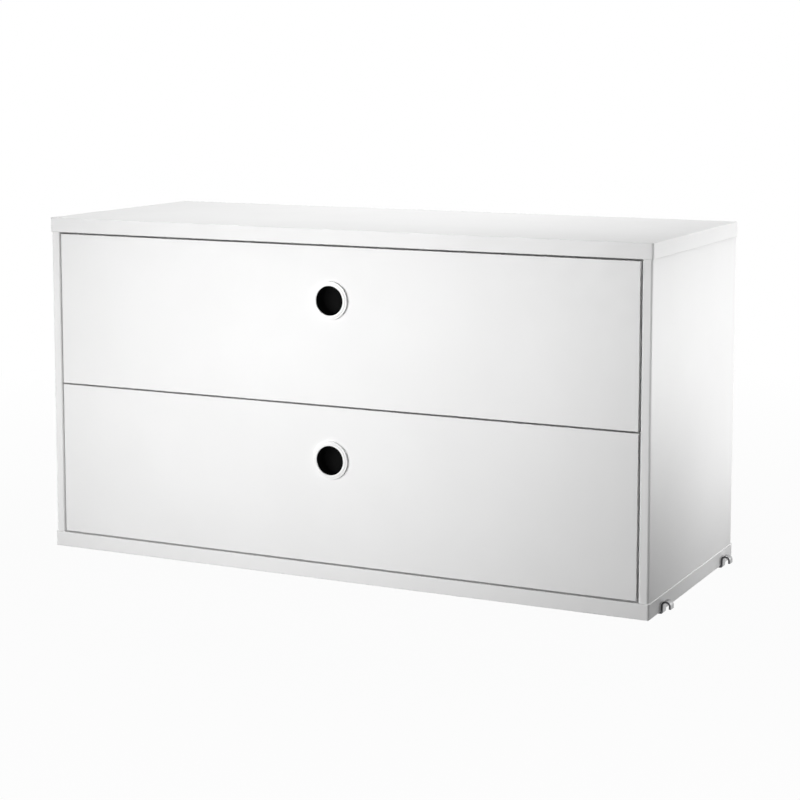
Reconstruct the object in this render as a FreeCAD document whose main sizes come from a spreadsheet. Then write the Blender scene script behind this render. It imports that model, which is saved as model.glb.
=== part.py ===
import FreeCAD, Part
import math
import os

import Sketcher
from FreeCAD import Placement, Rotation, Vector

# A white two-drawer cabinet that hangs on the rungs of a shelf rack by four bent steel hooks.
# Frame: X to the right, Y to the rear, Z up, origin at the centre of the base of its bounding box.
# All lengths are millimetres. Every piece takes its size and place from the values below.

SIZES = {
    # Carcass
    "cabinet_width": 780.0,
    "cabinet_depth": 310.0,
    "cabinet_height": 412.0,
    "panel_thickness": 18.0,
    "side_thickness": 12.0,
    "side_recess": 1.0,
    "front_recess": 1.0,
    "rear_recess": 1.0,
    "edge_chamfer": 0.8,
    "back_thickness": 4.0,
    "back_setin": 8.0,
    "back_groove_depth": 5.0,
    "groove_play": 0.2,
    # Hanging hooks
    "hook_thickness": 2.5,
    "hook_width": 11.0,
    "hook_rung_radius": 3.25,
    "hook_rise": 12.5,
    "hook_tip_height": 3.5,
    "hook_foot_length": 30.0,
    "hook_front_distance": 46.5,
    "hook_rear_distance": 40.5,
    # Drawer fronts and finger grips
    "front_gap": 2.0,
    "front_thickness": 16.0,
    "grip_drop": 62.5,
    "grip_bore_radius": 21.0,
    "cup_play": 0.1,
    "cup_wall": 1.6,
    "cup_floor": 1.5,
    "cup_rim_rise": 1.9,
    "ring_radius": 22.5,
    "ring_opening_radius": 17.25,
    "ring_rise": 3.3,
    "ring_crown_width": 2.6,
    "ring_shoulder": 1.4,
    "ring_lip_thickness": 1.2,
    # Drawer boxes
    "box_lift": 18.0,
    "box_height": 140.0,
    "box_rear_gap": 18.0,
    "box_board_thickness": 12.0,
    "housing_depth": 4.0,
    "bottom_thickness": 4.0,
    "bottom_rise": 10.0,
    "bottom_groove_depth": 6.0,
    "box_back_margin": 6.0,
    # Roller slides
    "slide_gap": 12.5,
    "slide_setback": 2.0,
    "sheet_thickness": 1.2,
    "rail_lift": 4.0,
    "rail_flange_width": 10.7,
    "rail_foot_width": 10.0,
    "drawer_rail_shortfall": 4.0,
    "stop_tab_height": 12.0,
    "runner_web_gap": 1.1,
    "runner_notch_play": 1.5,
    "roller_play": 0.3,
    "front_roller_radius": 7.5,
    "rear_roller_radius": 9.0,
    "roller_width": 5.2,
    "roller_end_margin": 14.0,
    "roller_side_play": 0.3,
    "axle_radius": 2.0,
    "axle_play": 0.05,
    "axle_head_radius": 3.2,
    "axle_head_thickness": 0.8,
}

doc = FreeCAD.newDocument("drawer_cabinet")
sheet = doc.addObject("Spreadsheet::Sheet", "Sizes")


class Size:
    """A value from the sheet, or worked out from such values, with the expression that binds to it."""

    def __init__(self, value, text):
        self.value = value
        self.text = text

    def __add__(self, other):
        other = size(other)
        return Size(self.value + other.value, f"({self.text} + {other.text})")

    def __sub__(self, other):
        other = size(other)
        return Size(self.value - other.value, f"({self.text} - {other.text})")

    def __mul__(self, other):
        other = size(other)
        return Size(self.value * other.value, f"{self.text} * {other.text}")

    def __truediv__(self, other):
        other = size(other)
        return Size(self.value / other.value, f"({self.text}) / ({other.text})")

    def __neg__(self):
        return Size(-self.value, f"(0 - {self.text})")


def size(number):
    """A plain number as a Size; a Size stays as it is."""
    return number if isinstance(number, Size) else Size(float(number), f"({number})")


def fill_sheet():
    """Write the driving dimensions, and hand them out as Sizes by name."""
    values = {}
    for row, (alias, number) in enumerate(SIZES.items(), start=1):
        sheet.set(f"A{row}", alias)
        sheet.set(f"B{row}", str(number))
        sheet.setAlias(f"B{row}", alias)
        values[alias] = Size(number, f"Sizes.{alias}")
    doc.recompute()
    return values


S = fill_sheet()
ZERO = size(0)
# Two points of an outline closer than this are one point
SAME_POINT = 1e-6

# Places that several pieces share
HALF_WIDTH = S["cabinet_width"] / 2
INNER_HALF = HALF_WIDTH - S["side_recess"] - S["side_thickness"]
UNDERSIDE = S["hook_thickness"]
PANEL_FRONT = -(S["cabinet_depth"] + S["front_recess"] - S["ring_rise"]) / 2
FACE = PANEL_FRONT + S["front_recess"]
SIDE_DEPTH = S["cabinet_depth"] - S["front_recess"] - S["rear_recess"]
SIDE_HEIGHT = S["cabinet_height"] - S["panel_thickness"] * 2
SIDE_BOTTOM = UNDERSIDE + S["panel_thickness"]
BACK_FRONT = S["cabinet_depth"] - S["rear_recess"] - S["back_setin"] - S["back_thickness"]
FRONT_WIDTH = (INNER_HALF - S["front_gap"]) * 2
FRONT_HEIGHT = (SIDE_HEIGHT - S["front_gap"] * 3) / 2
FRONT_REAR = FACE + S["front_thickness"]
BOX_HALF = INNER_HALF - S["slide_gap"]
BOX_INNER_HALF = BOX_HALF - S["box_board_thickness"]
BOX_END = PANEL_FRONT + BACK_FRONT - S["box_rear_gap"]
BOX_BACK = BOX_END - S["box_back_margin"] - S["box_board_thickness"]
CHANNEL_HEIGHT = S["rear_roller_radius"] * 2 + S["roller_play"] * 2
REAR_AXIS_RISE = S["rear_roller_radius"] + S["roller_play"]
FRONT_AXIS_RISE = S["front_roller_radius"] + S["roller_play"]
RUNNER_RISE = FRONT_AXIS_RISE + S["front_roller_radius"] + S["roller_play"]
ROLLER_START = S["sheet_thickness"] + S["roller_side_play"]
AXLE_LENGTH = ROLLER_START + S["roller_width"] + S["roller_side_play"]
SLIDE_FRONT = FRONT_REAR + S["slide_setback"]
SLIDE_LENGTH = BOX_END - SLIDE_FRONT
FRONT_ROLLER_Y = SLIDE_FRONT + S["roller_end_margin"]
REAR_ROLLER_END = S["rear_roller_radius"] + S["roller_play"] + S["sheet_thickness"]
REAR_ROLLER_Y = BOX_END - REAR_ROLLER_END

HOOK_REACH = S["hook_thickness"] * 2 + S["hook_rung_radius"] * 2
HOOK_ROWS = {
    "front": S["hook_front_distance"],
    "rear": S["cabinet_depth"] - S["hook_rear_distance"],
}

DRAWERS = {
    "lower": SIDE_BOTTOM + S["front_gap"],
    "upper": SIDE_BOTTOM + S["front_gap"] * 2 + FRONT_HEIGHT,
}
SIDES = {"left": -1, "right": 1}

pieces = []


def new_body(name):
    """One sub-part, listed for export under its name."""
    body = doc.addObject("PartDesign::Body", name)
    body.Label = name
    pieces.append(body)
    return body


def place(piece, x, y, z, half_turn=False):
    """Set a sub-part down at x, y, z, turned half way round the vertical for an opposite hand."""
    turn = Rotation(Vector(0, 0, 1), 180 if half_turn else 0)
    spots = {"x": size(x), "y": size(y), "z": size(z)}
    piece.Placement = Placement(Vector(*[spot.value for spot in spots.values()]), turn)
    for letter, spot in spots.items():
        piece.setExpression(f"Placement.Base.{letter}", spot.text)


# Each direction of growth or cut has an origin plane, the sign of its offset, and whether it runs
# along that plane's normal.
DIRECTIONS = {
    "+X": ("YZ_Plane", 1, True),
    "-X": ("YZ_Plane", 1, False),
    "+Y": ("XZ_Plane", -1, False),
    "-Y": ("XZ_Plane", -1, True),
    "+Z": ("XY_Plane", 1, True),
    "-Z": ("XY_Plane", 1, False),
}


class Arc:
    """An arc from one corner of an outline to the next, about a centre, counter-clockwise or not."""

    def __init__(self, centre, radius, counter):
        self.centre = centre
        self.radius = radius
        self.counter = counter


class Circle:
    """A whole circle in a sketch."""

    def __init__(self, x, y, radius):
        self.x = size(x)
        self.y = size(y)
        self.radius = size(radius)


def rectangle(x0, y0, x1, y1):
    """The outline of a rectangle between two corners."""
    return [(x0, y0), (x1, y0), (x1, y1), (x0, y1)]


def bind(target, constraint, value):
    """Add a dimension to a sketch and bind it to the sheet."""
    index = target.addConstraint(constraint)
    target.setExpression(f"Constraints[{index}]", value.text)


def draw_circle(target, circle):
    """Draw a circle whose centre and radius follow the sheet."""
    centre = Vector(circle.x.value, circle.y.value, 0)
    edge = target.addGeometry(Part.Circle(centre, Vector(0, 0, 1), circle.radius.value))
    bind(target, Sketcher.Constraint("Radius", edge, circle.radius.value), circle.radius)
    bind(target, Sketcher.Constraint("DistanceX", -1, 1, edge, 3, circle.x.value), circle.x)
    bind(target, Sketcher.Constraint("DistanceY", -1, 1, edge, 3, circle.y.value), circle.y)


def draw_outline(target, corners):
    """Draw a closed outline of lines and arcs whose corners and radii follow the sheet."""
    spots = [(size(corner[0]), size(corner[1])) for corner in corners]
    arcs = [corner[2] if len(corner) > 2 else None for corner in corners]
    count = len(corners)
    starts = {}
    ends = {}
    for i, arc in enumerate(arcs):
        here = Vector(spots[i][0].value, spots[i][1].value, 0)
        there = Vector(spots[(i + 1) % count][0].value, spots[(i + 1) % count][1].value, 0)
        if arc is None:
            edge = target.addGeometry(Part.LineSegment(here, there))
            starts[i], ends[i] = (edge, 1), (edge, 2)
            continue
        centre = Vector(size(arc.centre[0]).value, size(arc.centre[1]).value, 0)
        first, last = (here, there) if arc.counter else (there, here)
        angles = [math.atan2(p.y - centre.y, p.x - centre.x) for p in (first, last)]
        circle = Part.Circle(centre, Vector(0, 0, 1), size(arc.radius).value)
        edge = target.addGeometry(Part.ArcOfCircle(circle, angles[0], angles[1]))
        starts[i], ends[i] = ((edge, 1), (edge, 2)) if arc.counter else ((edge, 2), (edge, 1))
    for i in range(count):
        target.addConstraint(Sketcher.Constraint("Coincident", *ends[i], *starts[(i + 1) % count]))
    for i, (x, y) in enumerate(spots):
        bind(target, Sketcher.Constraint("DistanceX", -1, 1, *starts[i], x.value), x)
        bind(target, Sketcher.Constraint("DistanceY", -1, 1, *starts[i], y.value), y)
    for i, arc in enumerate(arcs):
        if arc is not None:
            radius = size(arc.radius)
            bind(target, Sketcher.Constraint("Radius", starts[i][0], radius.value), radius)


def sketch(body, role, offset, shapes, name, rise=ZERO):
    """A sketch on one of the body's own origin planes, moved along its normal and up its own Y."""
    target = body.newObject("Sketcher::SketchObject", f"{body.Name}_{name}_sketch")
    plane = next(feature for feature in body.Origin.OriginFeatures if feature.Role == role)
    target.AttachmentSupport = (plane, [""])
    target.MapMode = "FlatFace"
    target.AttachmentOffset = Placement(Vector(0, rise.value, offset.value), Rotation())
    target.setExpression("AttachmentOffset.Base.y", rise.text)
    target.setExpression("AttachmentOffset.Base.z", offset.text)
    for shape in shapes:
        if isinstance(shape, Circle):
            draw_circle(target, shape)
        else:
            draw_outline(target, shape)
    return target


def pad(body, name, direction, start, shapes, length):
    """Grow the shapes from start along a direction."""
    role, sign, along = DIRECTIONS[direction]
    feature = body.newObject("PartDesign::Pad", f"{body.Name}_{name}")
    feature.Profile = sketch(body, role, size(start) * sign, shapes, name)
    feature.setExpression("Length", size(length).text)
    feature.Reversed = not along
    doc.recompute()
    return feature


def pocket(body, name, direction, start, shapes, depth):
    """Cut the shapes from start along a direction, and make sure that something was cut."""
    before = body.Shape.Volume
    role, sign, along = DIRECTIONS[direction]
    feature = body.newObject("PartDesign::Pocket", f"{body.Name}_{name}")
    feature.Profile = sketch(body, role, size(start) * sign, shapes, name)
    feature.setExpression("Length", size(depth).text)
    feature.Reversed = along
    doc.recompute()
    if not body.Shape.Volume < before:
        raise RuntimeError(f"{feature.Name} cuts nothing")
    return feature


def revolve(body, name, outline, axis, rise=ZERO, offset=ZERO):
    """Turn an outline in the horizontal plane round an axis of its sketch, which may stand off."""
    feature = body.newObject("PartDesign::Revolution", f"{body.Name}_{name}")
    profile = sketch(body, "XY_Plane", offset, [outline], name, rise)
    feature.Profile = profile
    feature.ReferenceAxis = (profile, [axis])
    feature.Angle = 360
    doc.recompute()
    return feature


def chamfer_edges(body):
    """Break every edge of a board."""
    board = body.Tip
    feature = body.newObject("PartDesign::Chamfer", f"{body.Name}_edges")
    feature.Base = (board, [""])
    feature.UseAllEdges = True
    feature.setExpression("Size", S["edge_chamfer"].text)
    doc.recompute()
    return feature


def mirror(body, feature):
    """Repeat a feature on the other side of the middle plane."""
    copy = body.newObject("PartDesign::Mirrored", f"{feature.Name}_mirror")
    copy.Originals = [feature]
    plane = next(item for item in body.Origin.OriginFeatures if item.Role == "YZ_Plane")
    copy.MirrorPlane = (plane, [""])
    body.Tip = copy
    doc.recompute()
    return copy


def bent_sheet(path, thickness):
    """The outline of a sheet bent at right angles, which lies to the left of a path on its face.

    Each end of the path is (x, y) and each bend is (x, y, inner radius), which may be nothing.
    """
    near = []
    far = []
    thick = size(thickness)
    spots = [(size(corner[0]), size(corner[1])) for corner in path]
    heads = []
    for (x0, y0), (x1, y1) in zip(spots, spots[1:]):
        dx, dy = x1.value - x0.value, y1.value - y0.value
        span = math.hypot(dx, dy)
        heads.append((round(dx / span), round(dy / span)))
    first_left = (-heads[0][1], heads[0][0])
    last_left = (-heads[-1][1], heads[-1][0])
    near.append(spots[0])
    far.append((spots[0][0] + thick * first_left[0], spots[0][1] + thick * first_left[1]))
    for i in range(1, len(path) - 1):
        head_in, head_out = heads[i - 1], heads[i]
        left = head_in[0] * head_out[1] - head_in[1] * head_out[0] > 0
        inner = size(path[i][2])
        outer = inner + thick
        lean = (-head_in[1] - head_out[1], head_in[0] + head_out[0])
        corner = spots[i]
        across = (corner[0] + thick * lean[0], corner[1] + thick * lean[1])
        reach = outer if left else -inner
        centre = (corner[0] + reach * lean[0], corner[1] + reach * lean[1])
        near_radius, far_radius = (outer, inner) if left else (inner, outer)
        for side, point, radius in ((near, corner, near_radius), (far, across, far_radius)):
            if radius.value == 0:
                side.append(point)
                continue
            begin = (point[0] - radius * head_in[0], point[1] - radius * head_in[1])
            end = (point[0] + radius * head_out[0], point[1] + radius * head_out[1])
            previous = side[-1]
            gap = math.hypot(begin[0].value - previous[0].value, begin[1].value - previous[1].value)
            if gap < SAME_POINT:
                side.pop()
            side.append((*begin, Arc(centre, radius, left)))
            side.append(end)
    near.append(spots[-1])
    far.append((spots[-1][0] + thick * last_left[0], spots[-1][1] + thick * last_left[1]))
    backward = []
    for i in range(len(far) - 1, -1, -1):
        arc = far[i - 1][2] if i > 0 and len(far[i - 1]) > 2 else None
        turned = Arc(arc.centre, arc.radius, not arc.counter) if arc else None
        spot = (far[i][0], far[i][1])
        backward.append((*spot, turned) if turned else spot)
    return near + backward


# Carcass


def carcass_panel(name, height, inside_up):
    """The top or bottom panel, with the groove for the back on its inner face."""
    body = new_body(name)
    depth = S["cabinet_depth"]
    pad(body, "board", "+Z", 0, [rectangle(-HALF_WIDTH, ZERO, HALF_WIDTH, depth)], S["panel_thickness"])
    chamfer_edges(body)
    face = S["panel_thickness"] if inside_up else ZERO
    cut = "-Z" if inside_up else "+Z"
    reach = INNER_HALF + S["back_groove_depth"]
    groove = rectangle(-reach, BACK_FRONT - S["groove_play"] / 2,
                       reach, BACK_FRONT + S["back_thickness"] + S["groove_play"] / 2)
    pocket(body, "back_groove", cut, face, [groove], S["back_groove_depth"])
    place(body, 0, PANEL_FRONT, height)
    return body


def side_panel(name, hand):
    """A side panel between the top and bottom panels, hand -1 for left."""
    body = new_body(name)
    pad(body, "board", "+Z", 0, [rectangle(ZERO, ZERO, S["side_thickness"], SIDE_DEPTH)], SIDE_HEIGHT)
    chamfer_edges(body)
    inner_face, cut = (S["side_thickness"], "-X") if hand < 0 else (ZERO, "+X")
    groove_front = BACK_FRONT - S["front_recess"] - S["groove_play"] / 2
    groove_rear = groove_front + S["back_thickness"] + S["groove_play"]
    groove = rectangle(groove_front, ZERO, groove_rear, SIDE_HEIGHT)
    pocket(body, "back_groove", cut, inner_face, [groove], S["back_groove_depth"])
    x = -INNER_HALF - S["side_thickness"] if hand < 0 else INNER_HALF
    place(body, x, FACE, SIDE_BOTTOM)
    return body


def back_panel():
    """The thin back, held in grooves on all four sides."""
    body = new_body("back_panel")
    tongue = S["back_groove_depth"] - S["groove_play"]
    half = INNER_HALF + tongue
    board = rectangle(-half, -tongue, half, SIDE_HEIGHT + tongue)
    pad(body, "board", "+Y", 0, [board], S["back_thickness"])
    place(body, 0, PANEL_FRONT + BACK_FRONT, SIDE_BOTTOM)
    return body


# Hanging hooks


def hanging_hook(name, hand, distance):
    """A steel strip: a foot under the panel, a leg up its end face, and an arch over a rack rung."""
    body = new_body(name)
    arch = S["hook_rung_radius"]
    path = [
        (HOOK_REACH, S["hook_tip_height"]),
        (HOOK_REACH, S["hook_rise"], arch),
        (ZERO, S["hook_rise"], arch),
        (ZERO, ZERO, ZERO),
        (-S["hook_foot_length"], ZERO),
    ]
    outline = bent_sheet(path, S["hook_thickness"])
    pad(body, "strip", "+Y", -S["hook_width"] / 2, [outline], S["hook_width"])
    place(body, HALF_WIDTH * hand, PANEL_FRONT + distance, UNDERSIDE, half_turn=hand < 0)
    return body


# Drawer fronts and grips


def drawer_front(level, bottom):
    """A front with its grip bore, the housings for the box sides and the groove for the box bottom."""
    body = new_body(f"{level}_front")
    half = FRONT_WIDTH / 2
    pad(body, "board", "+Y", 0, [rectangle(-half, ZERO, half, FRONT_HEIGHT)], S["front_thickness"])
    chamfer_edges(body)
    bore = Circle(ZERO, FRONT_HEIGHT - S["grip_drop"], S["grip_bore_radius"])
    pocket(body, "grip_bore", "+Y", 0, [bore], S["front_thickness"])
    low, high = S["box_lift"], S["box_lift"] + S["box_height"]
    play = S["groove_play"] / 2
    housings = [rectangle(BOX_INNER_HALF - play, low - play, BOX_HALF + play, high + play),
                rectangle(-BOX_HALF - play, low - play, -BOX_INNER_HALF + play, high + play)]
    pocket(body, "side_housings", "-Y", S["front_thickness"], housings, S["housing_depth"])
    shelf = low + S["bottom_rise"]
    reach = BOX_INNER_HALF + S["bottom_groove_depth"]
    groove = rectangle(-reach, shelf - play, reach, shelf + S["bottom_thickness"] + play)
    pocket(body, "bottom_groove", "-Y", S["front_thickness"], [groove], S["bottom_groove_depth"])
    place(body, 0, FACE, bottom)
    return body


def grip_ring(level, bottom):
    """A white cap ring over the rim of the cup: a skirt on the front's face and a lip inwards."""
    body = new_body(f"{level}_grip_ring")
    outer, opening = S["ring_radius"], S["ring_opening_radius"]
    skirt = S["grip_bore_radius"] + S["cup_play"]
    rise, lip = S["ring_rise"], S["ring_lip_thickness"]
    crown = opening + S["ring_crown_width"]
    shoulder = S["ring_shoulder"]
    outline = [
        (skirt, ZERO),
        (outer, ZERO),
        (outer, shoulder - rise),
        (crown, -rise),
        (opening, -rise),
        (opening, lip - rise),
        (skirt, lip - rise),
    ]
    revolve(body, "ring", outline, "V_Axis")
    place(body, 0, FACE, bottom + FRONT_HEIGHT - S["grip_drop"])
    return body


def grip_cup(level, bottom):
    """A black finger cup through the front, whose rim stands proud of the face under the ring's lip."""
    body = new_body(f"{level}_grip_cup")
    outer = S["grip_bore_radius"] - S["cup_play"]
    inner = outer - S["cup_wall"]
    rim, end = -S["cup_rim_rise"], S["front_thickness"]
    floor = end - S["cup_floor"]
    outline = [
        (inner, rim),
        (outer, rim),
        (outer, end),
        (ZERO, end),
        (ZERO, floor),
        (inner, floor),
    ]
    revolve(body, "cup", outline, "V_Axis")
    place(body, 0, FACE, bottom + FRONT_HEIGHT - S["grip_drop"])
    return body


# Drawer boxes

BOX_START = FRONT_REAR - S["housing_depth"] + S["groove_play"]
BOX_TONGUE = S["bottom_groove_depth"] - S["groove_play"]


def box_side(level, side, hand, bottom):
    """A box side: housed in the front, grooved for the bottom and housing the back."""
    body = new_body(f"{level}_box_{side}_side")
    thickness, height = S["box_board_thickness"], S["box_height"]
    length = BOX_END - BOX_START
    pad(body, "board", "+Z", 0, [rectangle(ZERO, ZERO, thickness, length)], height)
    inner_face, cut = (thickness, "-X") if hand < 0 else (ZERO, "+X")
    play = S["groove_play"] / 2
    shelf = S["bottom_rise"]
    groove = rectangle(ZERO, shelf - play, length, shelf + S["bottom_thickness"] + play)
    pocket(body, "bottom_groove", cut, inner_face, [groove], S["bottom_groove_depth"])
    back = BOX_BACK - BOX_START
    housing = rectangle(back - play, ZERO, back + thickness + play, height)
    pocket(body, "back_housing", cut, inner_face, [housing], S["housing_depth"])
    x = -BOX_HALF if hand < 0 else BOX_INNER_HALF
    place(body, x, BOX_START, bottom + S["box_lift"])
    return body


def box_back(level, bottom):
    """The back of a box, housed in its sides and grooved for the bottom."""
    body = new_body(f"{level}_box_back")
    half = BOX_INNER_HALF + S["housing_depth"] - S["groove_play"]
    board = rectangle(-half, ZERO, half, S["box_height"])
    pad(body, "board", "+Y", 0, [board], S["box_board_thickness"])
    play, shelf = S["groove_play"] / 2, S["bottom_rise"]
    groove = rectangle(-half, shelf - play, half, shelf + S["bottom_thickness"] + play)
    pocket(body, "bottom_groove", "+Y", 0, [groove], S["bottom_groove_depth"])
    place(body, 0, BOX_BACK, bottom + S["box_lift"])
    return body


def box_bottom(level, bottom):
    """The thin bottom of a box, in grooves on all four sides."""
    body = new_body(f"{level}_box_bottom")
    half = BOX_INNER_HALF + BOX_TONGUE
    length = BOX_BACK + BOX_TONGUE * 2 - FRONT_REAR
    pad(body, "board", "+Z", 0, [rectangle(-half, ZERO, half, length)], S["bottom_thickness"])
    place(body, 0, FRONT_REAR - BOX_TONGUE, bottom + S["box_lift"] + S["bottom_rise"])
    return body


# Roller slides

RAIL_MIDDLE = SLIDE_FRONT + SLIDE_LENGTH / 2


def riveted_axle(body, inward, y, z):
    """An axle riveted into a rail's web: the journal of a roller and a head that keeps it on."""
    slim, wide = S["axle_radius"], S["axle_head_radius"]
    head_end = AXLE_LENGTH + S["axle_head_thickness"]
    steps = [(S["sheet_thickness"] / 2, ZERO), (S["sheet_thickness"] / 2, slim), (AXLE_LENGTH, slim),
             (AXLE_LENGTH, wide), (head_end, wide), (head_end, ZERO)]
    outline = [(reach * inward, radius) for reach, radius in steps]
    revolve(body, "axle", outline, "H_Axis", rise=y, offset=z)


def cabinet_rail(level, side, hand, bottom):
    """A folded channel on a side panel, open to the drawer, with its roller's axle and a stop tab."""
    body = new_body(f"{level}_{side}_cabinet_rail")
    sheet_thick, width = S["sheet_thickness"], S["rail_flange_width"]
    half = SLIDE_LENGTH / 2
    top, base = CHANNEL_HEIGHT + sheet_thick, -sheet_thick
    path = [(width, top), (ZERO, top, ZERO), (ZERO, base, ZERO), (width, base)]
    pad(body, "channel", "+Y", -half, [bent_sheet(path, sheet_thick)], SLIDE_LENGTH)
    tab = rectangle(width - S["roller_width"], base / 2, width, S["stop_tab_height"])
    rear, inward = (half, "-Y") if hand < 0 else (-half, "+Y")
    pad(body, "stop_tab", inward, rear, [tab], sheet_thick)
    riveted_axle(body, 1, (half - S["roller_end_margin"]) * hand, FRONT_AXIS_RISE)
    place(body, INNER_HALF * hand, RAIL_MIDDLE, bottom + S["box_lift"] + S["rail_lift"], hand > 0)
    return body


def drawer_rail(level, side, hand, bottom):
    """A folded rail under a box side, whose upper flange runs on the cabinet's roller."""
    body = new_body(f"{level}_{side}_drawer_rail")
    sheet_thick = S["sheet_thickness"]
    half, short = SLIDE_LENGTH / 2, S["drawer_rail_shortfall"]
    runner = sheet_thick + S["runner_web_gap"] - S["slide_gap"]
    under_runner = S["rail_lift"] + RUNNER_RISE
    path = [
        (runner, under_runner),
        (-sheet_thick, under_runner, ZERO),
        (-sheet_thick, -sheet_thick, ZERO),
        (S["rail_foot_width"], -sheet_thick),
    ]
    start = -half if hand < 0 else short - half
    outline = bent_sheet(path, sheet_thick)
    pad(body, "rail", "+Y", start, [outline], SLIDE_LENGTH - short)
    axle_y = (REAR_ROLLER_END - half) * hand
    clear = S["rear_roller_radius"] + S["runner_notch_play"]
    notch = rectangle(runner, axle_y + clear * hand, -sheet_thick, half * -hand)
    pocket(body, "roller_notch", "-Z", under_runner + sheet_thick, [notch], sheet_thick)
    riveted_axle(body, -1, axle_y, S["rail_lift"] + REAR_AXIS_RISE)
    place(body, BOX_HALF * hand, RAIL_MIDDLE, bottom + S["box_lift"], hand > 0)
    return body


def roller_pair(name, radius, start, y, z):
    """The plastic rollers of both sides, which turn on riveted axles."""
    body = new_body(name)
    bore, end = S["axle_radius"] + S["axle_play"], start + S["roller_width"]
    first = revolve(body, "roller", rectangle(start, bore, end, radius), "H_Axis")
    mirror(body, first)
    place(body, 0, y, z)
    return body


def build_carcass():
    """The fixed panels and hooks."""
    carcass_panel("bottom_panel", UNDERSIDE, inside_up=True)
    top_height = UNDERSIDE + S["cabinet_height"] - S["panel_thickness"]
    carcass_panel("top_panel", top_height, inside_up=False)
    for side, hand in SIDES.items():
        side_panel(f"{side}_side_panel", hand)
        for row, distance in HOOK_ROWS.items():
            hanging_hook(f"{side}_{row}_hook", hand, distance)
    back_panel()


def build_drawer(level, bottom):
    """One drawer with its grip, box, rails and rollers."""
    drawer_front(level, bottom)
    grip_ring(level, bottom)
    grip_cup(level, bottom)
    box_back(level, bottom)
    box_bottom(level, bottom)
    for side, hand in SIDES.items():
        box_side(level, side, hand, bottom)
        cabinet_rail(level, side, hand, bottom)
        drawer_rail(level, side, hand, bottom)
    channel = bottom + S["box_lift"] + S["rail_lift"]
    front_start = INNER_HALF - ROLLER_START - S["roller_width"]
    roller_pair(f"{level}_front_rollers", S["front_roller_radius"], front_start,
                FRONT_ROLLER_Y, channel + FRONT_AXIS_RISE)
    roller_pair(f"{level}_rear_rollers", S["rear_roller_radius"], BOX_HALF + ROLLER_START,
                REAR_ROLLER_Y, channel + REAR_AXIS_RISE)


def check_document():
    """Stop if any object failed or any sub-part is not whole."""
    for item in doc.Objects:
        if "Invalid" in item.State or "Error" in item.State:
            raise RuntimeError(f"{item.Name} failed: {item.State}")
    for piece in pieces:
        if piece.Shape.isNull() or not piece.Shape.isValid() or not piece.Shape.Solids:
            raise RuntimeError(f"{piece.Label} has no valid shape")


def export_pieces():
    """Write each sub-part under its own name."""
    os.makedirs("parts", exist_ok=True)
    for piece in pieces:
        piece.Shape.exportStep(os.path.join("parts", f"{piece.Label}.step"))


build_carcass()
for drawer_level, drawer_bottom in DRAWERS.items():
    build_drawer(drawer_level, drawer_bottom)
doc.recompute()
check_document()
export_pieces()
print(f"{len(pieces)} sub-parts written")
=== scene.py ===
"""The looks of a white two-drawer cabinet that hangs by bent steel hooks.

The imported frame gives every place. Lengths are in metres, X runs to the right, Y to the rear and
Z up, and the origin is the centre of the base of the cabinet's box.
"""

import logging
import math
from collections.abc import Callable, Sequence
from dataclasses import dataclass
from enum import Enum
from functools import cache

import bmesh
import bpy
from mathutils import Matrix, Vector


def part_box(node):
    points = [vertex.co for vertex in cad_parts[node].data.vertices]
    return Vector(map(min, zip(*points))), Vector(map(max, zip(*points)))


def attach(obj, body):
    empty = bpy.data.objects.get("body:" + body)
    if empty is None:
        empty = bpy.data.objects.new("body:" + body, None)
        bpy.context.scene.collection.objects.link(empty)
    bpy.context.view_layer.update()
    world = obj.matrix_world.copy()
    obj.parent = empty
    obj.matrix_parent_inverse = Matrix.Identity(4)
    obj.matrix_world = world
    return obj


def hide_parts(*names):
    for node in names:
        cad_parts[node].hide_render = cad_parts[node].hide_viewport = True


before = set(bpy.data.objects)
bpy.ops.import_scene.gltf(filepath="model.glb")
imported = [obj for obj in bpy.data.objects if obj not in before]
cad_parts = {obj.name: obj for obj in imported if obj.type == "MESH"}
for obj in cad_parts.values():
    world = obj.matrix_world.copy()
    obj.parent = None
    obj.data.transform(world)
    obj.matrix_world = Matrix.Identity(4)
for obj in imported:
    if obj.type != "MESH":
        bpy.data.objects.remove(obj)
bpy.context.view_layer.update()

MM = 0.001
SAME_SPOT = 1e-6
LEVELS = ("lower", "upper")
SIDES = {"left": -1.0, "right": 1.0}
ROWS = ("front", "rear")
ROOT_BODY = "cabinet"
# Mesh attribute that marks the hooks' front and rear edge faces for painted shade
PAINTED_SHADE_EDGE = "sheared_edge"
SMOOTH_DEGREES = 30.0
CUT_DEGREES = 35.0
FLAT_DEGREES = 0.5

# Nearly all of a noise's values, and of the distances in a cell pattern
NOISE_RANGE = (0.3, 0.7)
CELL_RANGE = (0.1, 0.7)
# Sockets that share a name with others of their node
MIX_FIRST, MIX_SECOND, MIX_RESULT = 6, 7, 2
RANDOM_MOST, RANDOM_RESULT = 3, 1

log = logging.getLogger("cabinet")

Mesh = bpy.types.Mesh
Node = bpy.types.Node
Socket = bpy.types.NodeSocket
Point2 = tuple[float, float]
Point3 = tuple[float, float, float]
Colour = tuple[float, float, float]
Spot = tuple[Point3, Point3]


# Node trees


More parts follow.
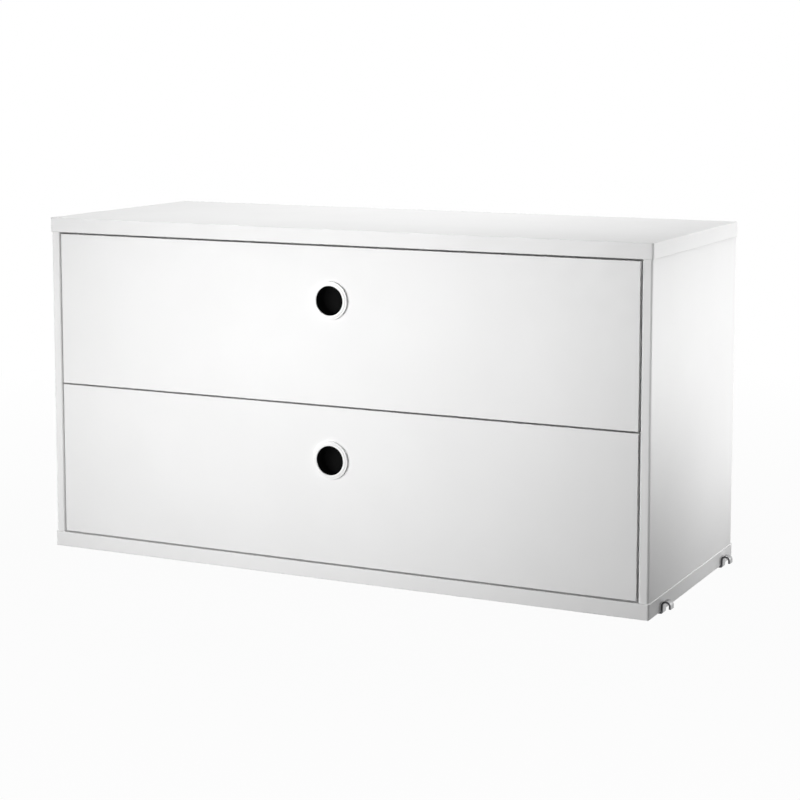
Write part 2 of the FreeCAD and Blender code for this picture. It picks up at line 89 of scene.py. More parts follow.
class NodeSketch:
    """Adds nodes to a tree, sets their sockets and joins them."""

    def __init__(self, tree: bpy.types.NodeTree) -> None:
        """Works on the tree of a material, a world or a geometry group."""
        self.tree = tree

    def add(self, kind: str, values: dict[str | int, object] | None = None,
            **settings: object) -> Node:
        """Adds a node with its own settings; a value is a constant or another node's socket."""
        node = self.tree.nodes.new(kind)
        for name, setting in settings.items():
            setattr(node, name, setting)
        for key, value in (values or {}).items():
            if isinstance(value, Socket):
                self.tree.links.new(value, node.inputs[key])
            else:
                node.inputs[key].default_value = value
        return node

    def math(self, operation: str, first: object, second: object = 0.0) -> Socket:
        """The result of one sum on two numbers or sockets."""
        return self.add("ShaderNodeMath", {0: first, 1: second}, operation=operation).outputs[0]

    def noise(self, place: Socket, scale: float, detail: float = 2.0) -> Socket:
        """The strength of a noise, about 0 to 1, with so many features to the metre."""
        values = {"Vector": place, "Scale": scale, "Detail": detail}
        return self.add("ShaderNodeTexNoise", values).outputs[0]

    def spread(self, value: Socket, low: float, high: float, to_low: float,
               to_high: float) -> Socket:
        """A value moved from one range to another and held inside it."""
        values = {0: value, 1: low, 2: high, 3: to_low, 4: to_high}
        return self.add("ShaderNodeMapRange", values).outputs[0]

    def tones(self, value: Socket, first: Colour, second: Colour) -> Socket:
        """A colour between two tones, by a value from 0 to 1."""
        ramp = self.add("ShaderNodeValToRGB", {0: value})
        ramp.color_ramp.elements[0].color = (*first, 1.0)
        ramp.color_ramp.elements[1].color = (*second, 1.0)
        return ramp.outputs[0]


# Finishes


@dataclass(frozen=True)
class Finish:
    """What every finish has: a colour that varies a little, a gloss and a fine relief.

    The relief is in metres and the features are counted to the metre.
    """

    name: str
    slot: str
    colour: Colour
    roughness: float
    tone_step: float = 0.015
    tone_features: float = 7.0
    relief: float = 0.000008
    relief_features: float = 900.0
    gloss_step: float = 0.03
    gloss_features: float = 45.0
    metallic: float = 0.0
    specular: float = 0.5

    def relief_height(self, sketch: NodeSketch, place: Socket) -> Socket:
        """The height of the fine relief, from 0 to 1."""
        return sketch.noise(place, self.relief_features)

    def tone_value(self, sketch: NodeSketch, place: Socket) -> Socket:
        """Where the colour stands between its darker and lighter tone, from 0 to 1."""
        value = sketch.noise(place, self.tone_features, detail=3.0)
        return sketch.spread(value, *NOISE_RANGE, 0.0, 1.0)

    def colours(self, sketch: NodeSketch, place: Socket) -> Socket:
        """The colour, between a darker and a lighter tone."""
        darker = tuple(part * (1.0 - self.tone_step) for part in self.colour)
        lighter = tuple(min(1.0, part * (1.0 + self.tone_step)) for part in self.colour)
        return sketch.tones(self.tone_value(sketch, place), darker, lighter)

    def build(self) -> bpy.types.Material:
        """Makes the material, which reads Object coordinates."""
        material = bpy.data.materials.new(self.name)
        material.use_nodes = True
        material.diffuse_color = (*self.colour, 1.0)
        sketch = NodeSketch(material.node_tree)
        shader = material.node_tree.nodes["Principled BSDF"]
        place = sketch.add("ShaderNodeTexCoord").outputs["Object"]
        sketch.tree.links.new(self.colours(sketch, place), shader.inputs["Base Color"])
        gloss = sketch.noise(place, self.gloss_features)
        low, high = self.roughness - self.gloss_step, self.roughness + self.gloss_step
        rough = sketch.spread(gloss, *NOISE_RANGE, low, high)
        sketch.tree.links.new(rough, shader.inputs["Roughness"])
        values = {"Strength": 1.0, "Distance": self.relief,
                  "Height": self.relief_height(sketch, place)}
        bump = sketch.add("ShaderNodeBump", values)
        sketch.tree.links.new(bump.outputs[0], shader.inputs["Normal"])
        shader.inputs["Metallic"].default_value = self.metallic
        shader.inputs["Specular IOR Level"].default_value = self.specular
        return material


@dataclass(frozen=True)
class SatinLacquer(Finish):
    """Sprayed satin lacquer, whose surface has the faint waviness of orange peel."""

    wave_features: float = 260.0
    wave_share: float = 0.6

    def relief_height(self, sketch: NodeSketch, place: Socket) -> Socket:
        """Fine grain on a longer wave."""
        grain = sketch.noise(place, self.relief_features)
        wave = sketch.noise(place, self.wave_features, detail=1.0)
        return sketch.math("ADD", grain, sketch.math("MULTIPLY", wave, self.wave_share))


@dataclass(frozen=True)
class BrushedSteel(Finish):
    """Zinc-plated strip steel, drawn lengthwise, with cloudy plating; its front and rear edge faces
    carry painted shade.
    """

    streak_scale: Point3 = (90.0, 2600.0, 90.0)
    cloud_features: float = 320.0
    # Painted shade: a dark colour laid on the strip's front and rear edge faces
    painted_shade_colour: Colour = (0.10, 0.10, 0.105)

    def colours(self, sketch: NodeSketch, place: Socket) -> Socket:
        """The plating's colour, with a dark painted shade colour where the mesh marks a front or rear
        edge face.
        """
        plating = super().colours(sketch, place)
        mark = sketch.add("ShaderNodeAttribute", attribute_name=PAINTED_SHADE_EDGE)
        values = {0: mark.outputs["Fac"], MIX_FIRST: plating,
                  MIX_SECOND: (*self.painted_shade_colour, 1.0)}
        return sketch.add("ShaderNodeMix", values, data_type="RGBA").outputs[MIX_RESULT]

    def relief_height(self, sketch: NodeSketch, place: Socket) -> Socket:
        """Streaks along the strip, which runs across the Y axis."""
        stretched = sketch.add("ShaderNodeMapping", {"Vector": place, "Scale": self.streak_scale})
        return sketch.noise(stretched.outputs[0], 1.0)

    def tone_value(self, sketch: NodeSketch, place: Socket) -> Socket:
        """Crystal-like clouds of the plating."""
        values = {"Vector": place, "Scale": self.cloud_features}
        cells = sketch.add("ShaderNodeTexVoronoi", values, feature="SMOOTH_F1")
        return sketch.spread(cells.outputs["Distance"], *CELL_RANGE, 0.0, 1.0)


@dataclass(frozen=True)
class PressedBoard(Finish):
    """Thin white fibreboard with the print of the press screen on its faces."""

    screen_pitch: float = 0.0022
    screen_share: float = 0.5

    def relief_height(self, sketch: NodeSketch, place: Socket) -> Socket:
        """A woven screen: two families of fine waves, multiplied."""
        parts = sketch.add("ShaderNodeSeparateXYZ", {0: place}).outputs
        turns = math.tau / self.screen_pitch
        depth = sketch.math("ADD", parts["Y"], parts["Z"])
        waves = [sketch.math("SINE", sketch.math("MULTIPLY", part, turns))
                 for part in (parts["X"], depth)]
        screen = sketch.math("MULTIPLY", *waves)
        fibres = sketch.noise(place, self.relief_features)
        return sketch.math("ADD", sketch.math("MULTIPLY", screen, self.screen_share), fibres)


@dataclass(frozen=True)
class MouldedPlastic(Finish):
    """Injection-moulded plastic with a fine spark-eroded grain."""

    grain_features: float = 2400.0

    def relief_height(self, sketch: NodeSketch, place: Socket) -> Socket:
        """Small rounded cells."""
        values = {"Vector": place, "Scale": self.grain_features}
        return sketch.add("ShaderNodeTexVoronoi", values).outputs["Distance"]


WHITE = (0.87, 0.87, 0.868)

CARCASS_LACQUER = SatinLacquer("satin_white_lacquer_carcass", "carcass_lacquer", WHITE, 0.42,
                               specular=0.35)
FRONT_LACQUER = SatinLacquer("satin_white_lacquer_fronts", "front_lacquer", WHITE, 0.40,
                             specular=0.35)
BACK_BOARD = PressedBoard("white_pressed_back_board", "back_board", (0.80, 0.80, 0.79), 0.55,
                          relief=0.00006, relief_features=1400.0)
HOOK_STEEL = BrushedSteel("zinc_plated_hook_steel", "hook_steel", (0.36, 0.36, 0.365), 0.30,
                          tone_step=0.10, relief=0.00001, metallic=1.0)
RING_PLASTIC = MouldedPlastic("gloss_white_ring_plastic", "ring_plastic", (0.92, 0.92, 0.915), 0.24,
                              tone_step=0.006, relief=0.000002, specular=0.3)
CUP_PLASTIC = MouldedPlastic("matt_black_cup_plastic", "cup_plastic", (0.0015, 0.0015, 0.0016), 0.96,
                             tone_step=0.08, relief=0.00002, specular=0.16)
BOX_BOARD = SatinLacquer("white_melamine_box_board", "box_board", (0.80, 0.80, 0.785), 0.50,
                         relief=0.00003, relief_features=1300.0, wave_share=0.2)
BOX_BOTTOM = PressedBoard("white_pressed_box_bottom", "box_bottom_board", (0.78, 0.78, 0.765), 0.55,
                          relief=0.00004, relief_features=1400.0)
SLIDE_STEEL = SatinLacquer("white_epoxy_coated_slide_steel", "slide_steel", (0.76, 0.755, 0.73), 0.38,
                           relief=0.00004, relief_features=620.0, wave_share=0.3)
ROLLER_PLASTIC = MouldedPlastic("natural_nylon_rollers", "roller_plastic", (0.74, 0.72, 0.66), 0.45,
                                relief=0.000008)
SCREW_STEEL = BrushedSteel("zinc_plated_screw_steel", "slide_steel", (0.55, 0.55, 0.56), 0.30,
                           tone_step=0.12, relief=0.00001, metallic=1.0,
                           streak_scale=(700.0, 700.0, 700.0))


@cache
def material_of(finish: Finish) -> bpy.types.Material:
    """The material of a finish, made at its first use."""
    return finish.build()


# Mesh making


def mesh_object(name: str, mesh: Mesh) -> bpy.types.Object:
    """Puts a mesh in the scene under a name, at the origin."""
    mesh.name = name
    piece = bpy.data.objects.new(name, mesh)
    bpy.context.scene.collection.objects.link(piece)
    return piece


def discard(piece: bpy.types.Object) -> None:
    """Takes a helper object out of the file."""
    bpy.data.objects.remove(piece)


def settle(piece: bpy.types.Object) -> Mesh:
    """Turns a helper with its modifiers into a plain mesh and removes the helper."""
    bpy.context.view_layer.update()
    evaluated = piece.evaluated_get(bpy.context.evaluated_depsgraph_get())
    mesh = bpy.data.meshes.new_from_object(evaluated)
    discard(piece)
    return mesh


def finish_piece(name: str, mesh: Mesh, finish: Finish, body: str,
                 replaced: Sequence[str] = ()) -> None:
    """Makes a piece of the cabinet from a plain mesh, hangs it on its body and hides the CAD nodes that
    it stands for.

    Args:
        name: The piece's name.
        mesh: Its mesh, with its place in it.
        finish: What it is dressed with.
        body: The body that it moves with.
        replaced: The CAD nodes that it stands for.
    """
    mesh.materials.clear()
    mesh.materials.append(material_of(finish))
    piece = mesh_object(name, mesh)
    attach(piece, body)
    if replaced:
        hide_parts(*replaced)
    log.info("%s: %d faces, on %s, in %s", name, len(mesh.polygons), body, finish.name)


def outward(node: str, hand: float) -> tuple[float, float]:
    """Where a node's box starts and ends, going out from the cabinet's middle to one side."""
    low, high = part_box(node)
    return (low.x, high.x) if hand > 0 else (-high.x, -low.x)


def cut_away(mesh: Mesh, tool: Mesh) -> Mesh:
    """Takes the shape of a closed tool out of a closed mesh, and gives what is left."""
    cutter = mesh_object("cutter", tool)
    helper = mesh_object("cut_helper", mesh)
    cut = helper.modifiers.new("cut", "BOOLEAN")
    cut.object = cutter
    cut.solver = "EXACT"
    result = settle(helper)
    discard(cutter)
    result.set_sharp_from_angle(angle=math.radians(CUT_DEGREES))
    return result


class Solid:
    """A mesh under way, kept as one bmesh and written out once."""

    def __init__(self) -> None:
        """Starts with nothing."""
        self.work = bmesh.new()

    def turn(self, profile: Sequence[Point2], segments: int, place: Matrix | None = None) -> None:
        """Turns a profile round the Z axis; a point on the axis closes as a pole.

        Args:
            profile: Points (radius, height), with the solid on the left of the way.
            segments: How many faces go round.
            place: Where the turned solid goes.
        """
        place = place or Matrix.Identity(4)
        rings = []
        for radius, height in profile:
            count = segments if radius > SAME_SPOT else 1
            angles = [math.tau * step / segments for step in range(count)]
            rings.append([self.work.verts.new(
                place @ Vector((radius * math.cos(a), radius * math.sin(a), height)))
                for a in angles])
        for low, high in zip(rings, rings[1:]):
            self.band(low, high)

    def band(self, low: list[bmesh.types.BMVert], high: list[bmesh.types.BMVert]) -> None:
        """Joins two rings, of which either may be a single point."""
        count = max(len(low), len(high))
        for step in range(count):
            after = (step + 1) % count
            corners = [low[step % len(low)], low[after % len(low)],
                       high[after % len(high)], high[step % len(high)]]
            unique = list(dict.fromkeys(corners))
            if len(unique) > 2:
                self.work.faces.new(unique)

    def extrude(self, outline: Sequence[Point2], near: float, far: float, hand: float) -> None:
        """Stretches a closed outline along Y and closes both ends.

        Args:
            outline: Its points (distance from the cabinet's middle, height), in order.
            near: Where the solid starts.
            far: Where it ends.
            hand: 1 for the right side of the cabinet, -1 for the left.
        """
        ends = [[self.work.verts.new((out * hand, reach, up)) for out, up in outline]
                for reach in (near, far)]
        self.band(ends[0], ends[1])
        for ring in ends:
            self.work.faces.new(ring)

    def write(self, name: str, sharp_from: float = SMOOTH_DEGREES) -> Mesh:
        """Writes the mesh out, its faces outwards, and marks edges past so many degrees sharp."""
        bmesh.ops.remove_doubles(self.work, verts=self.work.verts, dist=SAME_SPOT)
        bmesh.ops.recalc_face_normals(self.work, faces=self.work.faces)
        mesh = bpy.data.meshes.new(name)
        self.work.to_mesh(mesh)
        self.work.free()
        mesh.shade_smooth()
        mesh.set_sharp_from_angle(angle=math.radians(sharp_from))
        return mesh


def turned(name: str, profile: Sequence[Point2], segments: int, place: Matrix | None = None,
           sharp_from: float = SMOOTH_DEGREES) -> Mesh:
    """The mesh of one profile, turned round the Z axis and put in its place."""
    solid = Solid()
    solid.turn(profile, segments, place)
    return solid.write(name, sharp_from)


def scaled(shares: Sequence[Point2], radius: float, height: float) -> list[Point2]:
    """A profile whose points are shares of a radius and of a height."""
    return [(radius * out, height * up) for out, up in shares]


def arc(centre: Point2, radius: float, start: float, end: float, steps: int) -> list[Point2]:
    """Points on an arc between two angles in degrees, both ends included."""
    points = []
    for step in range(steps + 1):
        angle = math.radians(start + (end - start) * step / steps)
        points.append((centre[0] + radius * math.cos(angle), centre[1] + radius * math.sin(angle)))
    return points


def rounded_path(corners: Sequence[Point2], radius: float, steps: int = 8) -> list[Point2]:
    """Rounds the inner corners of an open path.

    Args:
        corners: The path's points.
        radius: The radius of each bend.
        steps: How many chords a bend has.

    Returns:
        The rounded path.
    """
    points = [corners[0]]
    for before, here, after in zip(corners, corners[1:], corners[2:]):
        spot = Vector(here)
        back, on = (Vector(before) - spot).normalized(), (Vector(after) - spot).normalized()
        half = back.angle(on) / 2.0
        reach = radius / math.tan(half)
        centre = spot + (back + on).normalized() * radius / math.sin(half)
        first, last = spot + back * reach - centre, spot + on * reach - centre
        sweep = first.angle_signed(last)
        for step in range(steps + 1):
            turned = Matrix.Rotation(-sweep * step / steps, 2) @ first
            points.append(tuple(centre + turned))
    points.append(corners[-1])
    return points


def strip_outline(path: Sequence[Point2], thickness: float) -> list[Point2]:
    """The closed outline of a strip whose middle line is a path."""
    left, right = [], []
    for i, here in enumerate(path):
        before, after = path[max(i - 1, 0)], path[min(i + 1, len(path) - 1)]
        along = (Vector(after) - Vector(before)).normalized()
        across = Vector((-along.y, along.x)) * thickness / 2.0
        left.append(tuple(Vector(here) + across))
        right.append(tuple(Vector(here) - across))
    return left + right[::-1]


@dataclass(frozen=True)
class Arris:
    """How far the edges of a board are rounded: those along X, along Y and along Z.

    The CAD model's plain chamfers, which are less than chamfer wide, are made square first.
    """

    along: Point3
    segments: int = 4
    chamfer: float = 0.85 * MM

    def square(self, work: bmesh.types.BMesh) -> None:
        """Moves the corners of the plain chamfers out to the board's own corners."""
        places = [vertex.co for vertex in work.verts]
        for axis in range(3):
            reach = [place[axis] for place in places]
            for face in (min(reach), max(reach)):
                for place in places:
                    if abs(place[axis] - face) < self.chamfer:
                        place[axis] = face
        bmesh.ops.remove_doubles(work, verts=work.verts, dist=SAME_SPOT)
        bmesh.ops.dissolve_degenerate(work, edges=work.edges, dist=SAME_SPOT)

    def weigh(self, work: bmesh.types.BMesh) -> None:
        """Gives each edge at a corner of the board's box its share of the widest rounding."""
        weights = work.edges.layers.float.new("bevel_weight_edge")
        faces = [(min(reach), max(reach)) for reach in zip(*(vertex.co for vertex in work.verts))]
        for edge in work.edges:
            first, last = (vertex.co for vertex in edge.verts)
            free = [axis for axis in range(3) if abs(first[axis] - last[axis]) > SAME_SPOT]
            rest = [axis for axis in range(3) if axis not in free]
            on_faces = [min(abs(first[axis] - face) for face in faces[axis]) < SAME_SPOT
                        for axis in rest]
            if len(free) == 1 and all(on_faces):
                edge[weights] = self.along[free[0]] / max(self.along)

    def ease(self, node: str) -> Mesh:
        """Copies a CAD node's mesh, makes it whole and rounds its edges.

        Args:
            node: The CAD node's name.

        Returns:
            A plain mesh.
        """
        work = bmesh.new()
        work.from_mesh(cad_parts[node].data)
        bmesh.ops.remove_doubles(work, verts=work.verts, dist=SAME_SPOT)
        self.square(work)
        bmesh.ops.dissolve_limit(work, angle_limit=math.radians(FLAT_DEGREES), verts=work.verts,
                                 edges=work.edges)
        self.weigh(work)
        mesh = bpy.data.meshes.new(f"{node}_copy")
        work.to_mesh(mesh)
        work.free()
        for layer in ("custom_normal", "sharp_face", "sharp_edge"):
            if layer in mesh.attributes:
                mesh.attributes.remove(mesh.attributes[layer])
        mesh.shade_smooth()
        mesh.set_sharp_from_angle(angle=math.radians(SMOOTH_DEGREES))
        helper = mesh_object(f"{node}_copy", mesh)
        bevel = helper.modifiers.new("arris", "BEVEL")
        bevel.width = max(self.along)
        bevel.segments = self.segments
        bevel.limit_method = "WEIGHT"
        bevel.loop_slide = False
        bevel.use_clamp_overlap = False
        bevel.harden_normals = True
        return settle(helper)

    def dress(self, node: str, finish: Finish, body: str) -> None:
        """Makes the eased piece that stands for a board's CAD node."""
        finish_piece(f"{node}_eased", self.ease(node), finish, body, [node])


# Geometry Nodes


class NodeGroup:
    """A Geometry Nodes tree with named inputs, run once on a helper object."""

    def __init__(self, name: str, inputs: dict[str, str]) -> None:
        """Starts a tree with geometry in and out, and a named input of each kind given."""
        self.tree = bpy.data.node_groups.new(name, "GeometryNodeTree")
        self.sketch = NodeSketch(self.tree)
        for way in ("INPUT", "OUTPUT"):
            self.take("Geometry", "Geometry", way)
        self.keys = {item: self.take(item, kind) for item, kind in inputs.items()}

    def take(self, name: str, kind: str, way: str = "INPUT") -> str:
        """Adds a socket to the tree's own ones and gives its identifier."""
        socket = f"NodeSocket{kind}"
        return self.tree.interface.new_socket(name, in_out=way, socket_type=socket).identifier

    def close(self, entry: Node, geometry: Socket) -> None:
        """Ends the tree with Realize Instances and Set Material."""
        real = self.sketch.add("GeometryNodeRealizeInstances", {"Geometry": geometry})
        dressed = self.sketch.add("GeometryNodeSetMaterial", {
            "Geometry": real.outputs[0], "Material": entry.outputs["Finish"]})
        self.sketch.add("NodeGroupOutput", {0: dressed.outputs[0]})

    def run(self, base: Mesh, values: dict[str, object]) -> Mesh:
        """Runs the tree on a mesh.

        Args:
            base: The points or path that the tree starts from.
            values: A value for each named input.

        Returns:
            The result as a plain mesh.
        """
        helper = mesh_object(f"{self.tree.name}_helper", base)
        modifier = helper.modifiers.new("nodes", "NODES")
        modifier.node_group = self.tree
        for name, value in values.items():
            modifier[self.keys[name]] = value
        return settle(helper)


class SetOut(NodeGroup):
    """Sets one part out on points, facing the way that each point says."""

    def __init__(self) -> None:
        """Builds the tree: align to the facing, turn by chance about it, then instance."""
        super().__init__("set_out_on_points", {
            "Part": "Object", "Turn spread": "Float", "Seed": "Int", "Finish": "Material"})
        sketch = self.sketch
        entry = sketch.add("NodeGroupInput")
        part = sketch.add("GeometryNodeObjectInfo", {"Object": entry.outputs["Part"]})
        facing = sketch.add("GeometryNodeInputNamedAttribute", {"Name": "facing"},
                            data_type="FLOAT_VECTOR")
        aligned = sketch.add("FunctionNodeAlignRotationToVector",
                             {"Vector": facing.outputs["Attribute"]}, axis="Z")
        turn = sketch.add("FunctionNodeAxisAngleToRotation", {"Angle": self.chance(entry)})
        turned = sketch.add("FunctionNodeRotateRotation", {
            "Rotation": aligned.outputs[0], "Rotate By": turn.outputs[0]}, rotation_space="LOCAL")
        placed = sketch.add("GeometryNodeInstanceOnPoints", {
            "Points": entry.outputs["Geometry"], "Instance": part.outputs["Geometry"],
            "Rotation": turned.outputs[0]})
        self.close(entry, placed.outputs[0])

    def chance(self, entry: Node) -> Socket:
        """A number for each point, from nothing to the spread, the same at every run."""
        node = self.sketch.add("FunctionNodeRandomValue", {"Seed": entry.outputs["Seed"]},
                               data_type="FLOAT")
        self.tree.links.new(entry.outputs["Turn spread"], node.inputs[RANDOM_MOST])
        return node.outputs[RANDOM_RESULT]

    def lay(self, name: str, part: Mesh, spots: Sequence[Spot], finish: Finish,
            body: str, replaced: Sequence[str] = (), spread: float = 0.0, seed: int = 0) -> None:
        """Sets a part out and makes one piece of all its copies.

        Args:
            name: The piece's name.
            part: The part's mesh, round its own Z axis.
            spots: A place and the way that the part's Z axis faces there, for each copy.
            finish: What the parts are dressed with.
            body: The body that they move with.
            replaced: The CAD nodes that they stand for.
            spread: The most that a part is turned about its own axis, in radians.
            seed: The seed of the turns.
        """
        base = bpy.data.meshes.new("spots")
        base.from_pydata([place for place, _ in spots], [], [])
        ways = base.attributes.new("facing", "FLOAT_VECTOR", "POINT")
        for datum, (_, way) in zip(ways.data, spots):
            datum.vector = way
        pattern = mesh_object("pattern_part", part)
        mesh = self.run(base, {"Part": pattern, "Turn spread": spread, "Seed": seed,
                               "Finish": material_of(finish)})
        discard(pattern)
        finish_piece(name, mesh, finish, body, replaced)


class BentStrip(NodeGroup):
    """Sweeps a strip with rounded edges along a path, flat side on."""

    edge_steps = 4

    def __init__(self) -> None:
        """Builds the tree: path to curve, rounded rectangle, sweep with closed ends."""
        super().__init__("strip_along_path", {
            "Width": "Float", "Thickness": "Float", "Edge radius": "Float",
            "Edge steps": "Int", "Finish": "Material"})
        sketch = self.sketch
        entry = sketch.add("NodeGroupInput")
        path = sketch.add("GeometryNodeMeshToCurve", {"Mesh": entry.outputs["Geometry"]})
        held = sketch.add("GeometryNodeSetCurveNormal",
                          {"Curve": path.outputs[0], "Normal": (0.0, 1.0, 0.0)}, mode="FREE")
        section = sketch.add("GeometryNodeCurvePrimitiveQuadrilateral", {
            "Width": entry.outputs["Width"], "Height": entry.outputs["Thickness"]},
            mode="RECTANGLE")
        eased = sketch.add("GeometryNodeFilletCurve", {
            "Curve": section.outputs[0], "Count": entry.outputs["Edge steps"],
            "Radius": entry.outputs["Edge radius"]}, mode="POLY")
        swept = sketch.add("GeometryNodeCurveToMesh", {
            "Curve": held.outputs[0], "Profile Curve": eased.outputs[0], "Fill Caps": True})
        smooth = sketch.add("GeometryNodeSetShadeSmooth", {"Geometry": swept.outputs[0]})
        self.close(entry, smooth.outputs[0])

    def sweep(self, path: Sequence[Point3], width: float, thickness: float, edge: float,
              finish: Finish) -> Mesh:
        """Sweeps one strip.

        Args:
            path: The points of the strip's middle line.
            width: How wide the strip is, across the path.
            thickness: How thick it is.
            edge: The radius of its long edges.
            finish: What it is dressed with.

        Returns:
            A plain mesh.
        """
        base = bpy.data.meshes.new("path")
        base.from_pydata(path, [(i, i + 1) for i in range(len(path) - 1)], [])
        return self.run(base, {"Width": width, "Thickness": thickness, "Edge radius": edge,
                               "Edge steps": self.edge_steps, "Finish": material_of(finish)})


# Small parts

# Outlines as shares of a part's radius and height
PAN_OUTLINE = ((0.97, 0.0), (1.0, 0.12), (0.97, 0.45), (0.86, 0.72), (0.68, 1.0))
CAP_OUTLINE = ((1.0, 0.45), (0.97, 0.8), (0.9, 1.0), (0.0, 1.12))
# Outlines as shares of a part's radius, and heights above its seat or its axle's end
SUNK_OUTLINE = ((0.95, -0.12 * MM), (1.0, -0.02 * MM), (0.985, 0.0), (0.75, 0.0))
RIVET_OUTLINE = ((0.97, 0.0), (1.0, 0.25 * MM), (0.96, 0.45 * MM), (0.72, 0.68 * MM),
                 (0.4, 0.8 * MM), (0.0, 0.8 * MM))


class Drive(Enum):
    """The two kinds of screw head."""

    COUNTERSUNK = "countersunk"
    PAN = "pan"


@dataclass
class CrossScrew:
    """A screw head with a cross recess, round the Z axis, whose seat is at height 0."""

    kind: Drive
    head_radius: float
    head_height: float = 0.0
    crown_share: float = 0.18
    foot_share: float = 0.55
    foot_sink: float = 0.5 * MM
    cone_share: float = 0.45
    cone_depth_share: float = 0.62
    arm_length: float = 1.55 * MM
    arm_width: float = 0.55 * MM
    recess_depth: float = 1.0 * MM
    mouth_share: float = 1.08
    mouth_depth: float = 0.06 * MM
    floor_share: float = 0.62
    point_share: float = 1.15
    segments: int = 40

    def cross_radius(self, angle: float, scale: float = 1.0) -> float:
        """How far the recess reaches from the middle at an angle."""
        half, reach = self.arm_width * scale / 2.0, self.arm_length * scale
        across, up = max(abs(math.cos(angle)), SAME_SPOT), max(abs(math.sin(angle)), SAME_SPOT)
        return max(min(reach / across, half / up), min(reach / up, half / across))

    def ring(self, work: bmesh.types.BMesh, radius: Callable[[float], float],
             height: float) -> list[bmesh.types.BMVert]:
        """One ring of points, whose distance from the axis depends on the angle."""
        points = []
        for step in range(self.segments):
            angle = math.tau * step / self.segments
            reach = radius(angle)
            points.append(work.verts.new((reach * math.cos(angle), reach * math.sin(angle), height)))
        return points

    def outside(self) -> list[Point2]:
        """The profile from under the seat up to the flat round the recess."""
        head = self.head_radius
        if self.kind is Drive.PAN:
            return [(head * self.foot_share, -self.foot_sink),
                    *scaled(PAN_OUTLINE, head, self.head_height)]
        return [(head * self.cone_share, -head * self.cone_depth_share),
                *scaled(SUNK_OUTLINE, head, 1.0)]

    def build(self) -> Mesh:
        """Makes the head with its recess, and its cone or foot below the seat."""
        solid = Solid()
        work, outside = solid.work, self.outside()
        crown = self.crown_share * self.head_height if self.kind is Drive.PAN else 0.0
        level = self.head_height + crown
        rings = [self.ring(work, lambda _, r=radius: r, height) for radius, height in outside]
        rings.append(self.ring(work, lambda a: self.cross_radius(a) * self.mouth_share, level))
        rings.append(self.ring(work, self.cross_radius, level - self.mouth_depth))
        rings.append(self.ring(work, lambda a: self.cross_radius(a, self.floor_share),
                               level - self.recess_depth))
        for low, high in zip(rings, rings[1:]):
            solid.band(low, high)
        for ring, height in ((rings[-1], level - self.recess_depth * self.point_share),
                             (rings[0], outside[0][1])):
            solid.band(ring, [work.verts.new((0.0, 0.0, height))])
        return solid.write(f"{self.kind.value}_screw", CUT_DEGREES)


@dataclass
class Roller:
    """A moulded roller round the Z axis, centred on height 0."""

    radius: float
    width: float
    bore: float = 2.05 * MM
    bore_ease: float = 0.15 * MM
    rim_round: float = 0.7 * MM
    web_recess: float = 0.7 * MM
    web_draft: float = 0.25 * MM
    hub_radius: float = 3.7 * MM
    rim_width: float = 1.5 * MM
    groove_half: float = 0.35 * MM
    groove_depth: float = 0.2 * MM
    segments: int = 72

    def side(self, hand: float) -> list[Point2]:
        """The profile of one side, from the bore to the tread."""
        face = self.width / 2.0
        web = face - self.web_recess
        rim = self.radius - self.rim_width
        edge = arc((self.radius - self.rim_round, face - self.rim_round), self.rim_round, 90, 0, 5)
        points = [(self.bore, face - self.bore_ease), (self.bore + self.bore_ease, face),
                  (self.hub_radius, face), (self.hub_radius + self.web_draft, web),
                  (rim - self.web_draft, web), (rim, face), *edge]
        return [(radius, height * hand) for radius, height in points]

    def build(self) -> Mesh:
        """Makes the roller with a shallow groove round the middle of its tread."""
        front, rear = self.side(1.0), self.side(-1.0)
        wide, deep = self.groove_half, self.groove_depth
        groove = [(self.radius, wide), (self.radius - deep, deep), (self.radius - deep, -deep),
                  (self.radius, -wide)]
        return turned("roller", [*front, *groove, *rear[::-1], front[0]], self.segments)


@dataclass
class Rivet:
    """An axle with a domed rivet head, round the Z axis; the web of the rail is at height 0."""

    axle_radius: float
    head_radius: float
    length: float
    sink: float = 0.4 * MM
    segments: int = 40

    def build(self) -> Mesh:
        """Makes the axle, sunk a little into the web, and its domed head."""
        axle = [(0.0, -self.sink), (self.axle_radius, -self.sink), (self.axle_radius, self.length)]
        dome = [(self.head_radius * out, self.length + up) for out, up in RIVET_OUTLINE]
        return turned("rivet", [*axle, *dome], self.segments)


# Sub-assemblies


